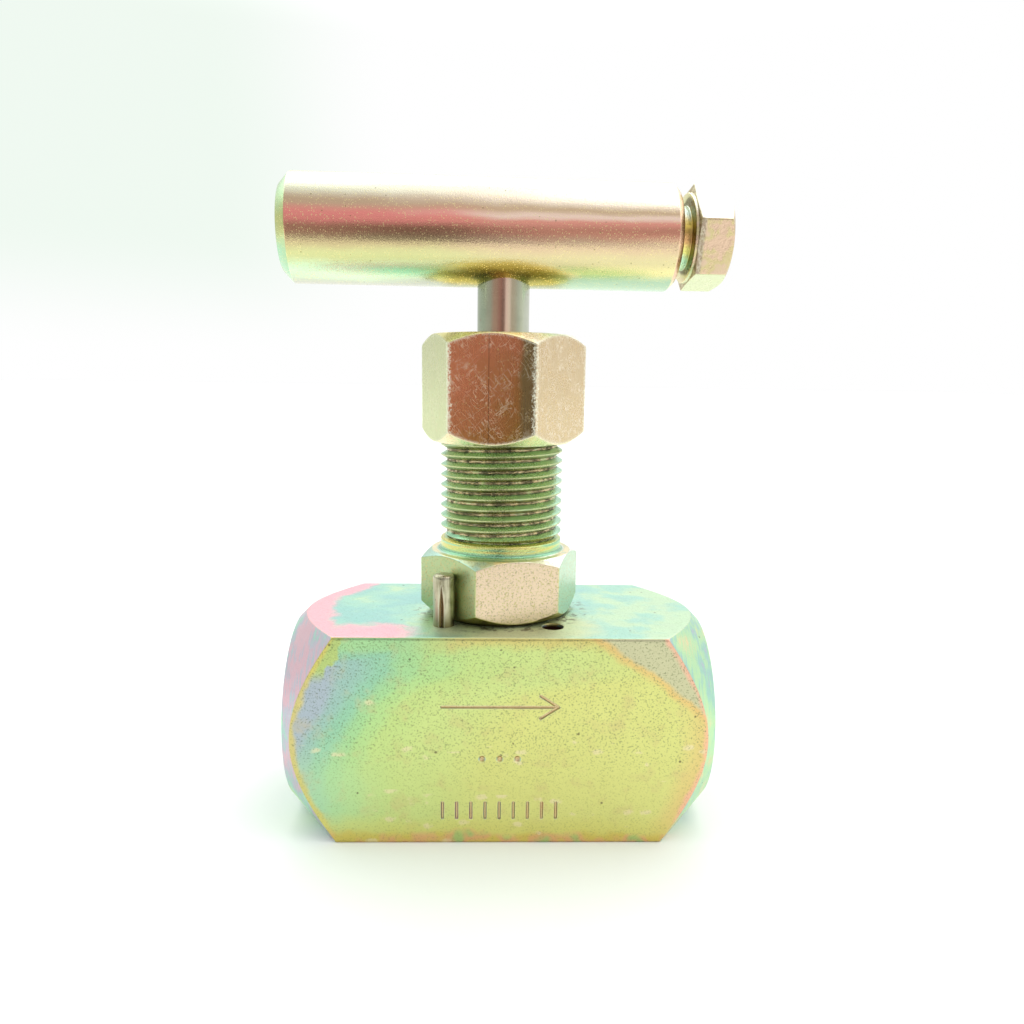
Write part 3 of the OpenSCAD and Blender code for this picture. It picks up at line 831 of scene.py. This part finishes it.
def stroke(start, end, width, depth):
    """Cutter for a stamped groove in the front face, narrower at its bottom, with round ends."""
    lift, arc = 0.05, 8
    start, end = Vector(start), Vector(end)
    heading = atan2(*(end - start).yx)
    work = bmesh.new()
    loops = []
    for half, y in ((width / 2, body_low.y - lift), (width / 6, body_low.y + depth)):
        loop = []
        for centre, first in ((end, heading - pi / 2), (start, heading + pi / 2)):
            for i in range(arc + 1):
                angle = first + pi * i / arc
                x, z = centre + Vector((cos(angle), sin(angle))) * half
                loop.append(work.verts.new(Vector((x, y, z)) * MM))
        loops.append(loop)
    for i in range(len(loops[0])):
        j = (i + 1) % len(loops[0])
        work.faces.new((loops[0][i], loops[0][j], loops[1][j], loops[1][i]))
    work.faces.new(loops[0])
    work.faces.new(loops[1])
    return add("stroke", meshed("stroke", work))


def stamps():
    """A flow arrow, three punched dots and a row of ticks, where a maker would stamp the front face."""
    arrow_z, dots_z, ticks_z = 21.3, 13.3, 5.2
    depth, width = 0.28, 0.55
    reach, barb = 8.5, 2.6
    marks = [((-reach, arrow_z), (reach - 0.4, arrow_z))]
    marks += [((reach, arrow_z), (reach - barb, arrow_z + side * 1.7)) for side in (1, -1)]
    marks += [((2.1 * i, ticks_z - 1.2), (2.1 * i, ticks_z + 1.2)) for i in range(-4, 5)]
    cutters = [stroke(start, end, width, depth) for start, end in marks]
    cutters += [stroke((x - 0.01, dots_z), (x + 0.01, dots_z), 1.2, depth) for x in (-2.6, 0, 2.6)]
    return cutters


def port_rows():
    """Profile of a pipe-threaded port, from the middle of its floor out to its mouth."""
    wall_end = half_len - (port_mouth_r - port_r)
    taper, cut_depth = 1 / 32, 1.3
    root = lambda x: port_r + cut_depth - (wall_end - x) * taper
    thread = thread_rows(port_r, root, port_pitch, port_floor_x + 1.2, wall_end, 0.6)
    return [ring(0, port_floor_x), ring(port_r, port_floor_x)] + thread + [ring(port_mouth_r, half_len)]


def turned_about(row):
    """The same row turned end for end, which keeps a thread right-handed."""
    def other_row(angle):
        radius, height = row(TAU - angle)
        return radius, -height
    return other_row


def make_body(material):
    corner_r, pin_hole_depth, spare_hole_depth = 0.35, 8, 6
    outline = lambda angle: polygon_radius(angle, 4, bar_w / 2, corner_r, pi / 4)
    corners = [pi / 4 + i * pi / 2 for i in range(4)]
    shell = prism_ends(outline, -half_len, half_len, end_face_r, end_face_r, 1, 1)
    shell = softened([ring(port_mouth_r, -half_len)] + shell + [ring(port_mouth_r, half_len)], 0.22)
    outlet = port_rows()
    inlet = [turned_about(row) for row in outlet]
    rows = inlet[:-1] + shell + outlet[-2::-1]
    body = turned("valve_body", rows, even_angles(180, corners, 0.03), along_x(flow_z))
    cutters = [
        plug(neck_r + 0.08, gasket_z, bar_w, upright(0, 0), 0.7, 128),
        plug(chamber_r, chamber_floor_z, gasket_z, upright(0, 0)),
        plug(passage_r, inlet_z, chamber_floor_z, upright(0, 0), 0.8),
        plug(pin_r + 0.01, bar_w - pin_hole_depth, bar_w, upright(*pin_place), 0, 48),
        plug(pin_r, bar_w - spare_hole_depth, bar_w, upright(*spare_place), 0.12, 48),
        rod(passage_r, 0, port_floor_x + 1, along_x(outlet_z)),
        rod(passage_r, -port_floor_x - 1, passage_r, along_x(inlet_z)),
    ]
    cut(body, cutters + stamps())
    finish_piece(body, "valve", "body", material)


# ---- bonnet

def make_bonnet(material):
    low, high = span("bonnet")
    outline, corners = hex_outline(hex_af, 0.3, radians(12.7))
    steep, steeper = tan(radians(32)), tan(radians(40))
    hexagon = prism_ends(outline, bonnet_hex_z, collar_z, 10.9, 10.95, steeper, steep)
    relief_r = neck_r - 1.15
    below = [ring(relief_r, low.z), ring(relief_r + 0.8, low.z + 0.8), ring(neck_r, bonnet_hex_z - 2),
             ring(relief_r, bonnet_hex_z - 1.4), ring(relief_r, bonnet_hex_z)]
    collar = [ring(neck_r + 0.55, collar_z), ring(neck_r, collar_z + 0.35), ring(neck_r, thread_z - 0.1),
              ring(neck_root_r, thread_z + 0.25)]
    thread = thread_rows(neck_root_r, neck_r, neck_pitch, thread_z + 0.3, high.z - 0.3, 0.7)
    bore_r, back_seat_z, guide_r, guide_z = 5.63, 46.8, stem_r + 0.06, 48.4
    bore = [ring(relief_r, high.z), ring(packing_r + 0.5, high.z), ring(packing_r, high.z - 0.5),
            ring(packing_r, packing_floor_z), ring(guide_r, packing_floor_z), ring(guide_r, guide_z),
            ring(bore_r, back_seat_z), ring(bore_r, low.z)]
    rows = softened(below + hexagon + collar, 0.16) + thread + bore + [ring(relief_r, low.z)]
    bonnet = turned("valve_bonnet", rows, even_angles(192, corners, 0.03))
    finish_piece(bonnet, "valve", "bonnet", material)


# ---- lock pin

def make_lock_pin(material):
    """Straight pin with three pressed grooves that widen towards its lower end."""
    groove_tip, groove_run = pin_high.z - 1.45, 3.2
    grooves = [radians(120 * i - 100) for i in range(3)]

    def grooved(height):
        grown = min(max((groove_tip - height) / groove_run, 0), 1)
        half_width = 0.45 * grown ** 0.7 + 1e-4

        def row(angle):
            off = min(abs((angle - groove + pi) % TAU - pi) for groove in grooves) * pin_r
            return pin_r - 0.4 * grown ** 0.5 * max(0, 1 - off / half_width), height
        return row

    top = [ring(pin_r - 0.02, pin_high.z - 0.42), ring(pin_r - 0.14, pin_high.z - 0.2),
           ring(pin_r - 0.4, pin_high.z - 0.06), ring(pin_r - 0.8, pin_high.z), ring(0, pin_high.z)]
    steps, shaft_low, shaft_h = 40, pin_low.z + 0.4, pin_high.z - 1.1 - pin_low.z
    shaft = [grooved(shaft_low + shaft_h * i / steps) for i in range(steps + 1)]
    rows = [ring(0, pin_low.z), ring(pin_r - 0.35, pin_low.z)] + shaft + softened(top, 0.1)
    angles = sorted(set(even_angles(96)) | {(groove + step * 0.05) % TAU for groove in grooves
                                            for step in range(-5, 6)})
    pin = turned("grooved_pin", rows, angles, upright(*pin_place))
    finish_piece(pin, "valve", "lock_pin", material, 30)


# ---- packing nut

def make_packing_nut(material):
    low, high = span("packing_nut")
    outline, corners = hex_outline(hex_af, 0.35, radians(-8.9))
    hexagon = prism_ends(outline, low.z, high.z, 10.8, 10.85, tan(radians(43)), tan(radians(40)))
    shoulder, hole_r, bore_r = high.z - 3, stem_r + 0.2, neck_r + 0.08
    bore = [ring(stem_r + 0.75, high.z), ring(hole_r, high.z - 0.45), ring(hole_r, shoulder),
            ring(bore_r, shoulder), ring(bore_r, low.z + 0.67), ring(neck_r + 0.75, low.z)]
    rows = softened(hexagon + bore + hexagon[:1], 0.14)
    rows = rows[1:-1] + rows[1:2]
    nut = turned("union_nut", rows, even_angles(180, corners, 0.035))
    finish_piece(nut, "packing_nut", "packing_nut", material)


# ---- stem

def make_stem(material):
    low, high = span("stem")
    socket_r, socket_top = 2.46, 28.1
    foot_r, skirt_r, root_r = 4.2, 4.6, 4.78
    thread_low, thread_high, shoulder_z, cone_top = 29, 40.7, 41, 42.58
    rows = [ring(0, socket_top), ring(socket_r, socket_top), ring(socket_r, low.z), ring(foot_r, low.z),
            ring(skirt_r, low.z + 0.4), ring(skirt_r, thread_low)]
    rows += thread_rows(root_r, stem_thread_r, stem_pitch, thread_low, thread_high, 0.5)
    plain = [ring(skirt_r, thread_high), ring(skirt_r, shoulder_z), ring(stem_thread_r, shoulder_z),
             ring(stem_r, cone_top), ring(stem_r, high.z - 0.6), ring(stem_r - 0.6, high.z)]
    rows += softened(plain + [ring(0, high.z)], 0.1)
    stem = turned("valve_stem", rows, even_angles(128))

    # the flat that the set bolt presses on
    flat_x, deep, wide, tall = 2.4, 5, 10, 20
    centre = Matrix.Translation((flat_x + deep / 2, 0, handle_z + 5))
    place = Matrix.Rotation(handle_turn, 4, "Z") @ centre @ Matrix.Diagonal((deep, wide, tall, 1))
    block = bmesh.new()
    bmesh.ops.create_cube(block, size=1)
    block.transform(Matrix.Scale(MM, 4) @ place)
    cut(stem, [add("flat", meshed("flat", block))])
    finish_piece(stem, "stem_and_handle", "stem", material)


# ---- handle

def along_handle():
    """Puts a shape's axis along the handle."""
    turn = Matrix.Rotation(handle_turn, 4, "Z")
    return Matrix.Translation((0, 0, handle_z)) @ turn @ Matrix.Rotation(pi / 2, 4, "Y")


def make_handle_bar(material):
    left, right, hole_r = handle_left, handle_right, bolt_r + 0.06
    outside = [ring(0, left), ring(handle_r - 1.65, left), ring(handle_r, left + 1.5),
               ring(handle_r, right - 0.9), ring(handle_r - 0.85, right), ring(bolt_r + 0.66, right),
               ring(hole_r, right - 0.6)]
    inside = [ring(hole_r, 0), ring(0, 0)]
    bar = turned("handle_bar_turned", softened(outside + inside, 0.15), even_angles(192), along_handle())
    hole_top = span("stem")[1].z + 0.5
    cut(bar, [rod(stem_r + 0.03, handle_z - handle_r - 1, hole_top, sides=96)])
    finish_piece(bar, "stem_and_handle", "handle_bar", material)


def make_set_bolt(material):
    tip_x, thread_end, head_high, head_r = 2.42, 22.5, 33.4, 6.9
    outline, corners = hex_outline(2 * head_r, 0.35, radians(18))
    tip_r, washer_r = bolt_r - 1.1, head_r * 0.96
    shank = [ring(0, tip_x), ring(tip_r, tip_x), ring(tip_r, tip_x + 0.8)]
    shank += thread_rows(bolt_r - 0.97, bolt_r, neck_pitch, tip_x + 0.8, thread_end, 0.7)
    head = [ring(bolt_r, thread_end + 0.4), ring(bolt_r, washer_face_x), ring(washer_r, washer_face_x),
            ring(washer_r, bolt_head_x)]
    head += prism_ends(outline, bolt_head_x, head_high, head_r * 0.99, 6.7, 0.1, tan(radians(30)))
    head += [ring(6.0, head_high), ring(0, head_high)]
    rows = shank + softened(head, 0.16)
    bolt = turned("hex_bolt", rows, even_angles(144, corners, 0.04), along_handle())
    finish_piece(bolt, "stem_and_handle", "handle_set_bolt", material)


# ---- studio

def make_world():
    """A white light tent with a dim roof, and the darker side that the camera stands on."""
    world = bpy.data.worlds.new("tent")
    scene.world = world
    world.use_nodes = True
    n = Nodes(world.node_tree)
    x, y, z = n.split(n.node("TexCoord").outputs["Generated"])
    degrees = 57.3
    height = n.times(n.calc("ARCSINE", z), degrees)
    bearing = n.times(n.calc("ARCTAN2", x, n.times(y, -1.0)), degrees)

    back = n.blend(n.fade(height, 20, 32), 1.0, 2.0)
    near = n.blend(n.fade(height, 8, 24), 0.62, 0.78)
    around = n.blend(n.fade(n.away(bearing), 60, 105), near, back)
    roof = n.blend(n.fade(x, 0, 0.25), 1.1, 1.8)
    strength = n.blend(n.fade(n.calc("MULTIPLY_ADD", x, 60.0, height), 66, 80), around, roof)

    mint = n.times(n.fade(height, 1, 9), n.fade(x, -0.1, -0.3))
    tint = n.node("Mix", data_type="RGBA")
    for index, value in ((0, mint), (6, (1, 1, 1, 1)), (7, (0.87, 0.95, 0.88, 1))):
        n.feed(tint.inputs[index], value)
    shade = n.tree.nodes["Background"]
    n.feed(shade.inputs["Color"], tint.outputs[2])
    n.feed(shade.inputs["Strength"], strength)


def make_camera_front():
    """The dark face of the camera, which shows in the handle, the nut and the stem but not in a view."""
    left, right, low, high = -66, 66, 18, 98
    work = bmesh.new()
    corners = ((left, low), (right, low), (right, high), (left, high))
    work.faces.new([work.verts.new((x * MM, CAMERA_PLACE.y * MM, z * MM)) for x, z in corners])
    card = placed("camera_front", meshed("camera_front", work))
    card.visible_camera = card.visible_diffuse = card.visible_shadow = False
    surface = Surface("camera_front", 0.0)
    surface.shader.inputs["Roughness"].default_value = 1
    surface.shader.inputs["Base Color"].default_value = (0, 0, 0, 1)
    surface.shader.inputs["Emission Strength"].default_value = 1
    across = surface.fade(surface.x, left, right)
    side, middle, far_side = (190, 190, 190), (116, 114, 112), (216, 216, 214)
    shade = surface.ramp(across, (0.1, side), (0.24, (185, 184, 182)), (0.33, middle), (0.5, middle),
                         (0.62, (190, 190, 188)), (0.8, far_side))
    surface.feed(surface.shader.inputs["Emission Color"], shade)
    card.data.materials.append(surface.material)


def make_lamp():
    """A very soft lamp overhead. It brightens the floor and doesn't show on the metal."""
    data = bpy.data.lights.new("overhead", "SUN")
    data.angle = radians(70)
    data.energy = 0.24
    placed("overhead", data).visible_glossy = False


def make_floor():
    """A pale sheet, which ends behind the camera where the dark side of the room starts."""
    half, front_edge = 3, -0.7
    work = bmesh.new()
    bmesh.ops.create_grid(work, x_segments=1, y_segments=1, size=half)
    bmesh.ops.translate(work, verts=work.verts, vec=(0, half + front_edge, 0))
    floor = placed("floor", meshed("floor", work))
    paper = Surface("paper", 0.0)
    fibre = paper.noise(0.4, 3, 0.6)
    cloud = paper.noise(60, 2)
    paper.color = paper.ramp(cloud, (0.3, (246, 250, 246)), (0.7, (250, 252, 249)))
    rough = paper.weighted((fibre, 0.2), start=0.7)
    floor.data.materials.append(paper.finish(rough, (fibre, 0.01)))


# ---- scene

make_camera()
make_body(body_surface())
make_bonnet(bonnet_surface())
make_lock_pin(pin_surface())
make_packing_nut(nut_surface())
make_stem(ground_steel("bare_steel_stem", (186, 182, 160), (150, 110, 90), bands=STEM_BANDS))
make_handle_bar(bar_surface())
make_set_bolt(bolt_surface())

carried = (
    (gasket_surface(), ("bonnet_gasket",)),
    (ground_steel("hardened_steel", (176, 180, 184), (120, 96, 76)),
     ("needle_tip", "needle_retaining_ring", "thrust_ball")),
    (ground_steel("packing_steel", (190, 190, 186), (126, 104, 84)),
     ("packing_base_washer", "gland_follower", "gland_thrust_washer")),
    (ptfe_surface(),
     ("packing_bottom_adapter", "packing_v_ring_1", "packing_v_ring_2", "packing_v_ring_3",
      "packing_v_ring_4", "packing_top_adapter")),
)
for surface, nodes in carried:
    for node in nodes:
        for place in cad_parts[node].material_slots:
            place.material = surface

make_world()
make_lamp()
make_camera_front()
make_floor()
scene.view_settings.view_transform = "Standard"
